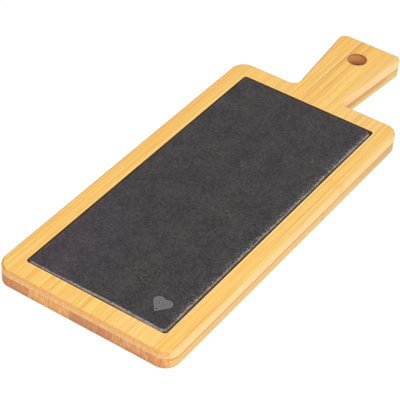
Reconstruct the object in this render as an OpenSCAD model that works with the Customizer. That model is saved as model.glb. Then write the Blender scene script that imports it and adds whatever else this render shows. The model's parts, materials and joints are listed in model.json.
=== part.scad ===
// Serving board: two plies of glued bamboo strips with a loose slate tile in a window.
// X runs across the board, Y along it towards the handle, Z up from the table.
// The origin is under the middle of the board, on its underside.

/* [Slate] */
// Width of the slate tile
slate_w = 117.5; // [95:0.5:141]
// Length of the slate tile
slate_l = 279; // [230:0.5:335]
// Thickness of the slate tile
slate_t = 6; // [4:0.1:8]
// Width of the dressed bevel round the top of the tile
slate_bevel = 1.4; // [0.5:0.1:2.5]
// Length cut off each corner of the tile along its sides
slate_corner = 2; // [0.5:0.1:5]
// Gap between the tile and its window, all round
slate_gap = 1.25; // [0.5:0.05:3]

/* [Slate pads] */
// Diameter of the four pads under the slate tile
pad_d = 10; // [6:0.5:16]
// Thickness of the pads
pad_t = 1; // [0.5:0.1:2]
// Distance from each edge of the tile to the middle of a pad
pad_inset = 16; // [10:1:30]

/* [Heart] */
// Width of the engraved heart
heart_w = 14.8; // [8:0.1:30]
// Height of the engraved heart, from its tip to the tops of its lobes
heart_h = 14.6; // [8:0.1:30]
// Depth of the engraving
heart_depth = 0.25; // [0.1:0.05:0.6]
// Distance from the right side of the tile to the middle of the heart
heart_from_side = 18.7; // [12:0.1:40]
// Distance from the near side of the tile to the tip of the heart
heart_from_near = 13.3; // [6:0.1:60]

/* [Frame] */
// Width of the bamboo between the window and each long side
side_rail = 15; // [8:0.5:30]
// Width of the bamboo between the window and the near end
near_rail = 15.5; // [8:0.5:30]
// Width of the bamboo between the window and the shoulders
far_rail = 16; // [8:0.5:30]
// Radius of the four corners of the wide part, seen from above
corner_r = 12; // [4:0.5:20]
// Width of the bevel that eases the outer edges
edge_bevel = 0.9; // [0.4:0.1:1.8]
// Radius of the corners of the window
window_corner_r = 2; // [1:0.1:6]

/* [Plies] */
// Thickness of the base ply
base_t = 9.2; // [6:0.1:14]
// Thickness of the top ply, which frames the slate
top_t = 6.8; // [5:0.1:12]

/* [Handle] */
// Length of the handle, from the shoulders to its end
handle_l = 87; // [65:1:130]
// Width of the handle where its straight sides meet the line of the shoulders
neck_w = 42; // [34:0.5:52]
// Width of the handle where its straight sides meet the line of its end
handle_end_w = 58.2; // [48:0.1:72]
// Radius of the inner corners between the handle and the shoulders
neck_r = 7; // [3:0.5:12]
// Radius of the two outer corners of the handle
handle_corner_r = 6.5; // [3:0.5:12]
// Diameter of the hanging hole
hole_d = 16; // [8:0.5:20]
// Distance from the end of the handle to the middle of the hanging hole
hole_setback = 26; // [18:0.5:40]
// Width of the bevel round both mouths of the hanging hole
hole_bevel = 0.6; // [0.3:0.1:1.5]

/* [Hidden] */
$fn = 96;

// Each ply is glued up from this many strips, side by side
strip_count = 9;
// Strips of the top ply that the window cuts into a near and a far piece
first_cut_strip = 3;
last_cut_strip = 7;
// Steamed brown strips of the base ply; the rest are natural
brown_strips = [1, 2, 5, 6];
// Where the outermost glued joint lies, as a share of the side rail from the window out
outer_joint_share = 0.2;
// Radius of a lobe of the heart as a share of its width
lobe_share = 0.277;
// How near a side of the heart passes the middle of its lobe, as a share of the radius
side_share = 0.99;

// How far a cutter runs past the face that it cuts
over = 1;
// How far the cutters along the handle's bevelled edge run on past their ends
lap = 1;
// How far inside its outer roundings a side of the handle runs, and how much wider its
// inner roundings are cut, so that sides and roundings cross at a clear angle
bite = 0.01;

// The board is the frame round the slate's window, with the handle beyond it
window_w = slate_w + 2 * slate_gap;
window_l = slate_l + 2 * slate_gap;
board_w = window_w + 2 * side_rail;
body_l = near_rail + window_l + far_rail;
board_l = body_l + handle_l;
board_t = base_t + top_t;

near_y = -board_l / 2;
end_y = board_l / 2;
shoulder_y = near_y + body_l;
hole_y = end_y - hole_setback;
window_mid_y = near_y + near_rail + window_l / 2;
slate_z = base_t + pad_t;

// The strips between the two outermost joints are all of one width
outer_joint_x = window_w / 2 + outer_joint_share * side_rail;
function joint_x(i) =
    i == 0 ? -board_w / 2 :
    i == strip_count ? board_w / 2 :
    outer_joint_x * (2 * (i - 1) / (strip_count - 2) - 1);

// The outline, anticlockwise from the near left corner: place, radius, and 1 where
// the corner points outwards or -1 where it points inwards
outline_corners = [
    [[-board_w / 2, near_y], corner_r, 1],
    [[board_w / 2, near_y], corner_r, 1],
    [[board_w / 2, shoulder_y], corner_r, 1],
    [[neck_w / 2, shoulder_y], neck_r, -1],
    [[handle_end_w / 2, end_y], handle_corner_r, 1],
    [[-handle_end_w / 2, end_y], handle_corner_r, 1],
    [[-neck_w / 2, shoulder_y], neck_r, -1],
    [[-board_w / 2, shoulder_y], corner_r, 1]
];
corner_count = len(outline_corners);

function unit(v) = v / norm(v);
function corner_at(i) = outline_corners[(i + corner_count) % corner_count];
function side_dir(i) = unit(corner_at(i + 1)[0] - corner_at(i)[0]);
// Angle that the outline turns through at a corner
function turn_at(i) = let (a = side_dir(i - 1), b = side_dir(i))
    acos(min(1, max(-1, a * b)));
// How far from its corner a rounding starts
function setback_at(i) = corner_at(i)[1] * tan(turn_at(i) / 2);
function arc_start(i) = corner_at(i)[0] - side_dir(i - 1) * setback_at(i);
function arc_end(i) = corner_at(i)[0] + side_dir(i) * setback_at(i);
function outward(i) = [side_dir(i)[1], -side_dir(i)[0]];
function arc_centre(i) = arc_start(i) - outward(i - 1) * corner_at(i)[1] * corner_at(i)[2];
function arc_r(i) = corner_at(i)[1] + (corner_at(i)[2] < 0 ? bite : 0);
// An outer rounding whose two sides aren't square to each other
function is_skew(i) = corner_at(i)[2] > 0 && side_dir(i - 1) * side_dir(i) != 0;
// The two ends of the straight side that follows corner i
function side_start(i) = arc_end(i) - outward(i) * (is_skew(i) ? bite : 0);
function side_end(i) = arc_start(i + 1) - outward(i) * (is_skew(i + 1) ? bite : 0);

// The plan of the board
module outline() {
    difference() {
        union() {
            polygon([for (i = [0:corner_count - 1]) each [side_start(i), side_end(i)]]);
            for (i = [0:corner_count - 1])
                if (corner_at(i)[2] > 0)
                    translate(arc_centre(i))
                        circle(r = arc_r(i));
        }
        for (i = [0:corner_count - 1])
            if (corner_at(i)[2] < 0)
                translate(arc_centre(i))
                    circle(r = arc_r(i));
    }
}

// Section of the cutter that bevels an edge: the edge is at the origin, the board lies on
// the side of negative X and Y, and the long side of the triangle makes the bevel
module bevel_profile() {
    reach = edge_bevel + over;
    polygon([[-reach, over], [over, -reach], [over, over]]);
}

// What the bevel takes off the upper edge along the straight side that follows corner i
module side_cutter(i) {
    way = unit(side_end(i) - side_start(i));
    from = side_start(i) - way * (is_skew(i) ? lap : 0);
    to = side_end(i) + way * (is_skew(i + 1) ? lap : 0);
    translate([to[0], to[1], 0])
        rotate([0, 0, atan2(way[1], way[0])])
            rotate([90, 0, -90])
                linear_extrude(norm(to - from))
                    bevel_profile();
}

// What the bevel takes off the upper edge round corner i
module corner_cutter(i) {
    out = corner_at(i)[2];
    first = (out > 0 ? arc_start(i) : arc_end(i)) - arc_centre(i);
    lap_angle = out > 0 ? 0 : asin(lap / arc_r(i));
    translate([arc_centre(i)[0], arc_centre(i)[1], 0])
        rotate([0, 0, atan2(first[1], first[0]) - lap_angle])
            rotate_extrude(angle = turn_at(i) + 2 * lap_angle)
                translate([arc_r(i), 0])
                    mirror([out > 0 ? 0 : 1, 0])
                        bevel_profile();
}

// The cutter that bevels the outer edge of an upward face at height zero
module edge_cutter() {
    for (i = [0:corner_count - 1]) {
        side_cutter(i);
        corner_cutter(i);
    }
}

// The window that the slate lies in, cut down to the base ply
module window() {
    x = window_w / 2;
    y = window_l / 2;
    r = window_corner_r;
    translate([0, window_mid_y, base_t])
        linear_extrude(top_t + over) {
            translate([-x, r - y])
                square([window_w, window_l - 2 * r]);
            translate([r - x, -y])
                square([window_w - 2 * r, window_l]);
            for (sx = [-1, 1])
                for (sy = [-1, 1])
                    translate([sx * (x - r), sy * (y - r)])
                        circle(r = r);
        }
}

// The hanging hole with a bevelled mouth on both faces
module hanging_hole() {
    translate([0, hole_y, 0]) {
        translate([0, 0, -over])
            cylinder(d = hole_d, h = board_t + 2 * over);
        for (z = [0, board_t])
            translate([0, 0, z])
                mirror([0, 0, z > 0 ? 1 : 0])
                    translate([0, 0, -over])
                        cylinder(
                            r1 = hole_d / 2 + hole_bevel + over,
                            r2 = hole_d / 2,
                            h = hole_bevel + over
                        );
    }
}

// The lengthwise slice of the board that strip i is cut from
module strip_slice(i) {
    translate([joint_x(i - 1), near_y - over, -over])
        cube([
            joint_x(i) - joint_x(i - 1),
            board_l + 2 * over,
            board_t + 2 * over
        ]);
}

module base_strip(i) {
    shade = len(search(i, brown_strips)) > 0 ? "#b5774a" : "#dba264";
    color(shade)
        difference() {
            intersection() {
                linear_extrude(base_t)
                    outline();
                strip_slice(i);
            }
            mirror([0, 0, 1])
                edge_cutter();
            hanging_hole();
        }
}

module top_strip(i) {
    color("#f3c87a")
        difference() {
            intersection() {
                translate([0, 0, base_t])
                    linear_extrude(top_t)
                        outline();
                strip_slice(i);
            }
            translate([0, 0, board_t])
                edge_cutter();
            window();
            hanging_hole();
        }
}

// The half of the board on the near (-1) or far (1) side of the middle of the window
module half_board(side) {
    near = side < 0 ? near_y - over : window_mid_y;
    far = side < 0 ? window_mid_y : end_y + over;
    translate([-board_w / 2 - over, near, -over])
        cube([board_w + 2 * over, far - near, board_t + 2 * over]);
}

module top_strip_end(i, side) {
    intersection() {
        top_strip(i);
        half_board(side);
    }
}

// Plan of the slate tile, centred, with its corners cut off
module slate_plan() {
    x = slate_w / 2;
    y = slate_l / 2;
    c = slate_corner;
    polygon([
        [c - x, -y], [x - c, -y], [x, c - y], [x, y - c],
        [x - c, y], [c - x, y], [-x, y - c], [-x, c - y]
    ]);
}

// A block along Y whose slanting face bevels the right (1) or the left (-1) side of a
// tile, from height zero up
module slate_bevel_cutter(l, side) {
    reach = 2 * slate_bevel;
    rotate([0, side * -45, 0])
        translate([side > 0 ? 0 : -reach, -l / 2 - over, -reach])
            cube([reach, l + 2 * over, 2 * reach]);
}

// A heart with its tip at the origin: two round lobes, and straight sides that run into them
module heart() {
    lobe_r = lobe_share * heart_w;
    lobe_x = heart_w / 2 - lobe_r;
    lobe_y = heart_h - lobe_r;
    reach = norm([lobe_x, lobe_y]);
    side_off = side_share * lobe_r;
    side_l = sqrt(reach * reach - side_off * side_off);
    lean = atan2(lobe_x, lobe_y) + asin(side_off / reach);
    side = side_l * [sin(lean), cos(lean)];
    for (s = [-1, 1])
        translate([s * lobe_x, lobe_y])
            circle(r = lobe_r);
    polygon([[0, 0], side, [0, lobe_y], [-side[0], side[1]]]);
}

module slate_tile() {
    color("#474548")
        translate([0, window_mid_y, slate_z])
            difference() {
                linear_extrude(slate_t)
                    slate_plan();
                for (sx = [-1, 1])
                    translate([sx * slate_w / 2, 0, slate_t - slate_bevel])
                        slate_bevel_cutter(slate_l, sx);
                for (sy = [-1, 1])
                    translate([0, sy * slate_l / 2, slate_t - slate_bevel])
                        rotate([0, 0, 90])
                            slate_bevel_cutter(slate_w, sy);
                translate([
                    slate_w / 2 - heart_from_side,
                    heart_from_near - slate_l / 2,
                    slate_t - heart_depth
                ])
                    linear_extrude(heart_depth + over)
                        heart();
            }
}

module slate_pads() {
    color("#2b2a2c")
        for (sx = [-1, 1])
            for (sy = [-1, 1])
                translate([
                    sx * (slate_w / 2 - pad_inset),
                    window_mid_y + sy * (slate_l / 2 - pad_inset),
                    base_t
                ])
                    cylinder(d = pad_d, h = pad_t);
}

for (i = [1:strip_count])
    base_strip(i);
for (i = [1:strip_count])
    if (i < first_cut_strip || i > last_cut_strip)
        top_strip(i);
for (i = [first_cut_strip:last_cut_strip])
    top_strip_end(i, -1);
for (i = [first_cut_strip:last_cut_strip])
    top_strip_end(i, 1);
slate_tile();
slate_pads();
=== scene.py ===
# %% [markdown]
# A serving board in bamboo and slate
#
# The board is two plies of bamboo strips, glued side by side and then on top of each other. The
# upper ply has a window, and a loose slate tile lies in it on four small pads. The construction
# model gives the sizes. This lesson makes the pieces that are seen, with rounded edges, a riven
# stone and finishes made from nodes.
#
# First the construction model is loaded as a fixed frame, and its box is kept.

# %% Load the frame
import json
import math

import bmesh
import bpy
import numpy as np
from mathutils import Matrix, Vector


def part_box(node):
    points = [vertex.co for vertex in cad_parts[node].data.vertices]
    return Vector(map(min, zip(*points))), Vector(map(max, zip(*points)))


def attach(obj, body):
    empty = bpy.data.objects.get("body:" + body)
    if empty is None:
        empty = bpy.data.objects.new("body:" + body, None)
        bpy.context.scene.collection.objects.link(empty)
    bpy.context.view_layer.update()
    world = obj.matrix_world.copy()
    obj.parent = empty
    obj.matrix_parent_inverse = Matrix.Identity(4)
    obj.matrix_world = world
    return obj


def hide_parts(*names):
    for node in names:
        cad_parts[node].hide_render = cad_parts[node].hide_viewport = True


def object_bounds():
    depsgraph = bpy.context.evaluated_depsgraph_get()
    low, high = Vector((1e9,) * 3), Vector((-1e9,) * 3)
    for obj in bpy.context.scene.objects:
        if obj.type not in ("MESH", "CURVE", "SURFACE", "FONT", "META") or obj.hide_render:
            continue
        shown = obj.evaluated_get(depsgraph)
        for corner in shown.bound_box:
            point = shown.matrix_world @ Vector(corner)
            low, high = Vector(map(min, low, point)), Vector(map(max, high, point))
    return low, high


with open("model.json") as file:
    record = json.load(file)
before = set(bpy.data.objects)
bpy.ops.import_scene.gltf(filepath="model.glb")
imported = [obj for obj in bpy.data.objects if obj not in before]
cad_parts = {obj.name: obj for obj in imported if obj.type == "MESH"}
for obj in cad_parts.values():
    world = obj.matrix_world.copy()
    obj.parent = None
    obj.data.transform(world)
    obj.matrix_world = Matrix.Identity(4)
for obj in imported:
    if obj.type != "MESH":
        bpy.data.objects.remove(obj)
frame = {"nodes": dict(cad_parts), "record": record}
cad_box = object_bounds()
MM = 0.001
print("nodes in the frame:", len(frame["nodes"]))
print("box of the frame, mm:", [round((high - low) / MM, 2) for low, high in zip(*cad_box)])

# %% [markdown]
# The camera comes early, because each later step is judged through it. Its direction, distance and
# lens were worked out from the corners of the board in the photograph. It stands to the right of
# the near end, looks down by about forty degrees, and is tilted a little on its own axis.
#
# A camera looks along its own negative Z axis. Its matrix is put together here from three
# directions that are square to each other: right, up, and back towards the camera.

# %% Camera
AZIMUTH = math.radians(31.70)
ELEVATION = math.radians(39.96)
ROLL = math.radians(4.11)
DISTANCE = 1.245
AIM = Vector((-10.7 * MM, -38.5 * MM, 0))
SENSOR = 36.0
FOCAL_IN_PIXELS = 1661
PICTURE_WIDTH = 400


def direction(azimuth, height):
    """Unit vector (sin a cos h, -cos a cos h, sin h): azimuth 0 is the near end's side, h is upwards."""
    return Vector((math.sin(azimuth) * math.cos(height), -math.cos(azimuth) * math.cos(height),
                   math.sin(height)))


back = direction(AZIMUTH, ELEVATION)
level = Vector((math.cos(AZIMUTH), math.sin(AZIMUTH), 0))
upright = back.cross(level)
right = level * math.cos(ROLL) + upright * math.sin(ROLL)
up = upright * math.cos(ROLL) - level * math.sin(ROLL)

camera_data = bpy.data.cameras.new("camera")
camera_data.sensor_width = SENSOR
camera_data.lens = SENSOR * FOCAL_IN_PIXELS / PICTURE_WIDTH
camera = bpy.data.objects.new("camera", camera_data)
turn = Matrix((right, up, back)).transposed().to_4x4()
camera.matrix_world = Matrix.Translation(AIM + back * DISTANCE) @ turn
bpy.context.scene.collection.objects.link(camera)
bpy.context.scene.camera = camera
bpy.context.scene.view_settings.view_transform = "Standard"
print("lens, mm:", round(camera_data.lens, 1))

# %% [markdown]
# Materials are built from nodes. A small class keeps that short: it holds one node tree, and its
# methods add a node and give back the output to read. Colours are written as they look on a
# screen, from 0 to 255, and turned into the linear numbers that Blender's sockets expect.

# %% Helpers for nodes
def shade(red, green, blue):
    """Screen colour to linear colour: c / 12.92 for dark values, ((c + 0.055) / 1.055) ^ 2.4 above."""
    c = np.array([red, green, blue]) / 255
    linear = np.where(c < 0.04045, c / 12.92, ((c + 0.055) / 1.055) ** 2.4)
    return (*linear.tolist(), 1.0)


class Nodes:
    """The nodes of one material or world."""

    def __init__(self, owner):
        owner.use_nodes = True
        self.tree = owner.node_tree
        self.tree.nodes.clear()

    def put(self, kind, sockets, **options):
        """Adds a node. Each socket is given a value, or the output of another node to read."""
        made = self.tree.nodes.new(kind)
        for name, value in options.items():
            setattr(made, name, value)
        for name, value in sockets.items():
            if isinstance(value, bpy.types.NodeSocket):
                self.tree.links.new(value, made.inputs[name])
            else:
                made.inputs[name].default_value = value
        return made

    def calc(self, operation, first, *others):
        """A sum, such as ADD or MAXIMUM, of the first value and each of the others in turn."""
        for other in others or (0.0,):
            made = self.put("ShaderNodeMath", {0: first, 1: other}, operation=operation)
            first = made.outputs[0]
        return first

    def times(self, *factors):
        """All the factors multiplied with each other."""
        return self.calc("MULTIPLY", *factors)

    def slope(self, value, low, high, start=0.0, end=1.0):
        """Start below low, end above high, and a smooth S between them."""
        sockets = {"Value": value, 1: low, 2: high, 3: start, 4: end}
        made = self.put("ShaderNodeMapRange", sockets, interpolation_type="SMOOTHSTEP")
        return made.outputs[0]

    def mixed(self, amount, first, second):
        """Colour = first at amount 0, and second laid over it at amount 1."""
        sockets = {0: amount, 6: first, 7: second}
        return self.put("ShaderNodeMix", sockets, data_type="RGBA").outputs[2]


WHITE = shade(255, 255, 255)
print("middle grey as a linear number:", round(shade(128, 128, 128)[0], 3))

# %% [markdown]
# The object stands on a pale floor that runs out of the picture. In the photograph the background
# is pure white, so what the camera sees of the world is white, while the light that the world
# gives is set apart from that with the Light Path node. The floor is a pale matt surface, lifted
# to white for the camera's own rays, and it keeps a soft part of the shadow.
#
# The lift is worked out so that the floor comes out exactly white under the world's even light
# alone: what the matt part sends back and the white that is added together make 1. So it gets
# darker only where the board keeps that light off.

# %% Floor
FLOOR_HALF = 6.0
FLOOR_GAP = 0.1 * MM
FLOOR_LIFT = 0.86
FLOOR_COLOUR = shade(247, 247, 247)
WORLD_SHARE = 0.63


def seen_straight(nodes):
    """1 on the camera's own rays, and on those that a mirror or glass would send on to it."""
    rays = nodes.put("ShaderNodeLightPath", {}).outputs
    by_mirror = nodes.calc("MAXIMUM", rays["Is Camera Ray"], rays["Is Glossy Ray"])
    return nodes.calc("MAXIMUM", by_mirror, rays["Is Transmission Ray"])


floor_mesh = bpy.data.meshes.new("floor")
corners = [(x * FLOOR_HALF, y * FLOOR_HALF, -FLOOR_GAP) for x, y in ((-1, -1), (1, -1), (1, 1), (-1, 1))]
floor_mesh.from_pydata(corners, [], [(0, 1, 2, 3)])
floor = bpy.data.objects.new("floor", floor_mesh)
bpy.context.scene.collection.objects.link(floor)

floor_finish = bpy.data.materials.new("pale_floor")
nodes = Nodes(floor_finish)
matt = nodes.put("ShaderNodeBsdfDiffuse", {"Color": FLOOR_COLOUR})
own_light = FLOOR_COLOUR[0] * WORLD_SHARE
fill_up = (1 - (1 - FLOOR_LIFT) * own_light) / FLOOR_LIFT
white = nodes.put("ShaderNodeEmission", {"Color": WHITE, "Strength": fill_up})
lifted = nodes.times(seen_straight(nodes), FLOOR_LIFT)
both = nodes.put("ShaderNodeMixShader", {0: lifted, 1: matt.outputs[0], 2: white.outputs[0]})
nodes.put("ShaderNodeOutputMaterial", {0: both.outputs[0]})
floor_mesh.materials.append(floor_finish)
print("strength of the floor's own white:", round(fill_up, 3))

# %% [markdown]
# The world gives even light from all sides, and one large soft lamp on the right models the shape.
# Together they light a level surface at about the strength at which a colour renders as written.
# The lamp's power follows from the share of that light which it should give:
# power = share * pi^2 * distance^2 / sine of its height.

# %% World and lamp
LAMP_SHARE = 0.38
LAMP_AZIMUTH = math.radians(56)
LAMP_HEIGHT = math.radians(50)
LAMP_DISTANCE = 2.4
LAMP_SIZE = 1.35

world = bpy.data.worlds.new("world")
bpy.context.scene.world = world
nodes = Nodes(world)
level_of_light = nodes.slope(seen_straight(nodes), 0.0, 1.0, WORLD_SHARE, 1.0)
sky = nodes.put("ShaderNodeBackground", {"Color": WHITE, "Strength": level_of_light})
nodes.put("ShaderNodeOutputWorld", {0: sky.outputs[0]})

lamp_data = bpy.data.lights.new("soft_lamp", "AREA")
lamp_data.shape = "DISK"
lamp_data.size = LAMP_SIZE
lamp_data.energy = LAMP_SHARE * math.pi ** 2 * LAMP_DISTANCE ** 2 / math.sin(LAMP_HEIGHT)
lamp = bpy.data.objects.new("soft_lamp", lamp_data)
towards_lamp = direction(LAMP_AZIMUTH, LAMP_HEIGHT)
lamp.location = towards_lamp * LAMP_DISTANCE
lamp.rotation_euler = towards_lamp.to_track_quat("Z", "Y").to_euler()
bpy.context.scene.collection.objects.link(lamp)
print("lamp power, W:", round(lamp_data.energy, 2))

# %% [markdown]
# Now the board. Its outline is a shape with eight corners: four round ones on the wide part, two
# hollow ones where the handle starts, and two at the handle's end. The frame gives the places that
# a box can give. The radii are the ones that the construction model was made with.
#
# A rounded corner is worked out from its two sides. The rounding starts radius * tan(turn / 2)
# before the corner, and its middle is one radius inside, or outside for a hollow corner. Every
# point of the path gets the direction that points out of the board there, because the edge's
# profile is later laid along that direction.

# %% Measures of the board
low, high = (np.array(corner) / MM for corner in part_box("base_strip_1"))
HALF_WIDTH = -low[0]
NEAR_Y = low[1]
SHOULDER_Y = high[1]
GLUE_Z = high[2]
END_Y = cad_box[1][1] / MM
TOP_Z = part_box("top_strip_1")[1].z / MM
NECK_HALF = 21.0
HANDLE_END_HALF = 29.1
CORNER_R = 12.0
NECK_R = 7.0
HANDLE_CORNER_R = 6.5
HOLE_R = 8.0
HOLE_SETBACK = 26.0
print("half width, near, shoulders, end, mm:",
      [round(float(place), 2) for place in (HALF_WIDTH, NEAR_Y, SHOULDER_Y, END_Y)])
print("glue line and top, mm:", round(float(GLUE_Z), 2), round(TOP_Z, 2))

# %% Rounded paths
ARC_STEPS = 25
HOLD = 1.5


def rounded_path(corners, radii):
    """Closed path round a polygon, anticlockwise, with each corner rounded by its radius.

    Point on a rounding = middle + sign * radius * out, where out turns from the first side's
    outward direction to the second's. A short straight piece, HOLD long, follows each rounding
    and comes before it, so that the shading of the long sides stays even.
    """
    corners = np.array(corners, float)
    radii = np.array(radii, float)[:, None]
    along = np.roll(corners, -1, axis=0) - corners
    along /= np.linalg.norm(along, axis=1, keepdims=True)
    before = np.roll(along, 1, axis=0)
    cross = before[:, :1] * along[:, 1:] - before[:, 1:] * along[:, :1]
    dot = (before * along).sum(axis=1, keepdims=True)
    turn = np.arctan2(cross, dot)
    setback = radii * np.tan(np.abs(turn) / 2)
    out_before = np.stack([before[:, 1], -before[:, 0]], axis=1)
    start = corners - before * setback
    middle = start - out_before * radii * np.sign(turn)
    angle = turn * np.linspace(0, 1, ARC_STEPS)
    cos, sin = np.cos(angle), np.sin(angle)
    out = np.stack([
        out_before[:, :1] * cos - out_before[:, 1:] * sin,
        out_before[:, :1] * sin + out_before[:, 1:] * cos,
    ], axis=2)
    arc = middle[:, None] + (radii * np.sign(turn))[:, :, None] * out
    first = (arc[:, 0] - before * HOLD)[:, None]
    last = (arc[:, -1] + along * HOLD)[:, None]
    path = np.concatenate([first, arc, last], axis=1).reshape(-1, 2)
    out = np.concatenate([out[:, :1], out, out[:, -1:]], axis=1).reshape(-1, 2)
    return path, out


outline = rounded_path(
    [(-HALF_WIDTH, NEAR_Y), (HALF_WIDTH, NEAR_Y), (HALF_WIDTH, SHOULDER_Y),
     (NECK_HALF, SHOULDER_Y), (HANDLE_END_HALF, END_Y), (-HANDLE_END_HALF, END_Y),
     (-NECK_HALF, SHOULDER_Y), (-HALF_WIDTH, SHOULDER_Y)],
    [CORNER_R, CORNER_R, CORNER_R, NECK_R, HANDLE_CORNER_R, HANDLE_CORNER_R, NECK_R, CORNER_R],
)
print("points round the board:", len(outline[0]))

# %% [markdown]
# The window is a rectangle with small corners, and the hanging hole is a circle. They could be cut
# out with Boolean modifiers. As closed paths they get their rounded edges just as the outline does.
#
# The window's sides follow from the rails: its near side is where the near pieces of the cut strips
# end, and its far side is where their far pieces start. The near wall is then moved in by three
# tenths of a millimetre, because the gap in front of the tile is that much narrower on the real
# board.

# %% Window and hanging hole
WINDOW_CORNER_R = 2.6
WINDOW_HALF = 60.0
NEAR_WALL_IN = 0.3
HOLE_STEPS = 96

window_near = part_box("top_strip_5_near")[1].y / MM + NEAR_WALL_IN
window_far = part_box("top_strip_5_far")[0].y / MM
window = rounded_path(
    [(-WINDOW_HALF, window_near), (WINDOW_HALF, window_near),
     (WINDOW_HALF, window_far), (-WINDOW_HALF, window_far)],
    [WINDOW_CORNER_R] * 4,
)
angle = np.linspace(0, 2 * np.pi, HOLE_STEPS, endpoint=False)
hole_out = np.stack([np.cos(angle), np.sin(angle)], axis=1)
hole = (np.array([0, END_Y - HOLE_SETBACK]) + HOLE_R * hole_out, hole_out)
WINDOW_LENGTH = window_far - window_near
print("window from", round(window_near, 2), "to", round(window_far, 2))

# %% [markdown]
# A ply is one closed shell. A small profile, the shape of the edge seen from its end, is carried
# round each path: up the wall and over a rounding. The machine that shapes such a board runs a
# rounding bit along its edges, and hand sanding softens the window and the hole. Two flat faces
# close the shell. A Bevel modifier would round the edges too, but a profile can carry more.
#
# The profile also marks the roundings, where painted highlight and painted shade are later laid on
# the arris, and whether a point is on a wall. The walls of the window and of the drilled hole get
# browned, as a fast tool leaves them.

# %% Carrying a profile round a path
EDGE_R = 1.7
UNDER_R = 1.1
WINDOW_EDGE_R = 0.6
HOLE_EDGE_R = 0.9
ROUND_STEPS = 9
SUPPORT = 0.35
WALL_FADE = 6


def wall_profile(low, high, low_r, high_r):
    """Rows of inset, height, rounding mark and share of wall, from the flat face below to the one above.

    Rounding: inset = r * (1 - cos a) and height = r * (1 - sin a) from the face, for a from 0 to
    90 degrees. The rounding mark is 1 on the roundings, where painted highlight and painted shade
    are laid later. The last number is 1 on the wall and fades to 0 on them.
    A row SUPPORT beyond each end of a rounding keeps the shading of wall and face even.
    """
    a = np.linspace(0, np.pi / 2, ROUND_STEPS)
    rounding = np.stack([1 - np.cos(a), 1 - np.sin(a), 0 * a + 1, np.cos(a) ** WALL_FADE], axis=1)
    rows = []
    if low_r > 0:
        rows.append([[low_r + SUPPORT, low, 0, 0]])
        rows.append((rounding * [low_r, low_r, 1, 1] + [0, low, 0, 0])[::-1])
        rows.append([[0, low + low_r + SUPPORT, 0, 1]])
    else:
        rows.append([[0, low, 0, 1]])
    if high_r > 0:
        rows.append([[0, high - high_r - SUPPORT, 0, 1]])
        rows.append(rounding * [high_r, -high_r, 1, 1] + [0, high, 0, 0])
        rows.append([[high_r + SUPPORT, high, 0, 0]])
    else:
        rows.append([[0, high, 0, 1]])
    return np.concatenate(rows)


def carry(path, out, profile, side):
    """Grid of points: path point - side * inset * out, at the profile's height."""
    flat = path[None] - side * profile[:, :1, None] * out[None]
    height = np.broadcast_to(profile[:, 1, None, None], flat.shape[:2] + (1,))
    return np.concatenate([flat, height], axis=2)


print("rows in the outer profile:", len(wall_profile(GLUE_Z, TOP_Z, 0, EDGE_R)))

# %% [markdown]
# The carried grids become the shell of a ply. The open rings at the bottom and at the top lie in
# flat planes, so each plane can be filled in one go, and the fill leaves the window and the hole
# open. The roundings are shaded smooth and the flat faces flat.

# %% Making a ply
ROUNDING_MARK = "worn"
BORED = "bored"
SAME_LEVEL = 0.001 * MM


def quads_round(number):
    """Faces between the rows of a grid that closes on itself, from the numbers of its points."""
    following = np.roll(number, -1, axis=1)
    return np.stack([number[:-1], following[:-1], following[1:], number[1:]], axis=2).reshape(-1, 4)


def write_down(mesh, name, values):
    """Stores one number for each point of a mesh, under a name that a finish can read."""
    layer = mesh.attributes.new(name, "FLOAT", "POINT")
    layer.data.foreach_set("value", np.asarray(values, np.float32))


def ply(low, high, walls):
    """A closed shell: every wall is (path, out, profile, side, bored), and both flat ends are filled."""
    points, faces, rounding_marks, bored = [], [], [], []
    count = 0
    for path, out, profile, side, is_bored in walls:
        grid = carry(path, out, profile, side)
        rows, around = grid.shape[:2]
        number = count + np.arange(rows * around).reshape(rows, around)
        faces.append(quads_round(number))
        points.append(grid.reshape(-1, 3))
        rounding_marks.append(np.repeat(profile[:, 2], around))
        bored.append(np.repeat(profile[:, 3] * is_bored, around))
        count += rows * around
    mesh = bpy.data.meshes.new("ply")
    mesh.from_pydata(np.concatenate(points) * MM, [], np.concatenate(faces).tolist())
    write_down(mesh, ROUNDING_MARK, np.concatenate(rounding_marks))
    write_down(mesh, BORED, np.concatenate(bored))
    shell = bmesh.new()
    shell.from_mesh(mesh)
    bpy.data.meshes.remove(mesh)
    for face in shell.faces:
        face.smooth = True
    for level_z, way in ((low * MM, -1), (high * MM, 1)):
        rim = [edge for edge in shell.edges if edge.is_boundary
               and abs(edge.verts[0].co.z - level_z) < SAME_LEVEL]
        bmesh.ops.triangle_fill(shell, use_beauty=True, edges=rim, normal=(0, 0, way))
    bmesh.ops.recalc_face_normals(shell, faces=shell.faces)
    return shell


outer, outer_out = outline
side_in, side_out = 1, -1
base_ply = ply(0, GLUE_Z, [
    (outer, outer_out, wall_profile(0, GLUE_Z, UNDER_R, 0), side_in, False),
    (*hole, wall_profile(0, GLUE_Z, HOLE_EDGE_R, 0), side_out, True),
])
top_ply = ply(GLUE_Z, TOP_Z, [
    (outer, outer_out, wall_profile(GLUE_Z, TOP_Z, 0, EDGE_R), side_in, False),
    (*window, wall_profile(GLUE_Z, TOP_Z, 0, WINDOW_EDGE_R), side_out, True),
    (*hole, wall_profile(GLUE_Z, TOP_Z, 0, HOLE_EDGE_R), side_out, True),
])
for title, shell in (("base ply", base_ply), ("top ply", top_ply)):
    print(title, "volume, mm3:", round(shell.calc_volume() / MM ** 3),
          "open edges:", sum(edge.is_boundary for edge in shell.edges))

# %% [markdown]
# Real strips are glued first and shaped afterwards, so their edges run on from one to the next
# without a step. The same is done here: the finished ply is cut along the glue joints, and each
# cut is closed with a flat face. The joints lie where the frame's strips end.
#
# A strip keeps its rounded edges from the ply, so neighbours fit each other exactly.

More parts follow.
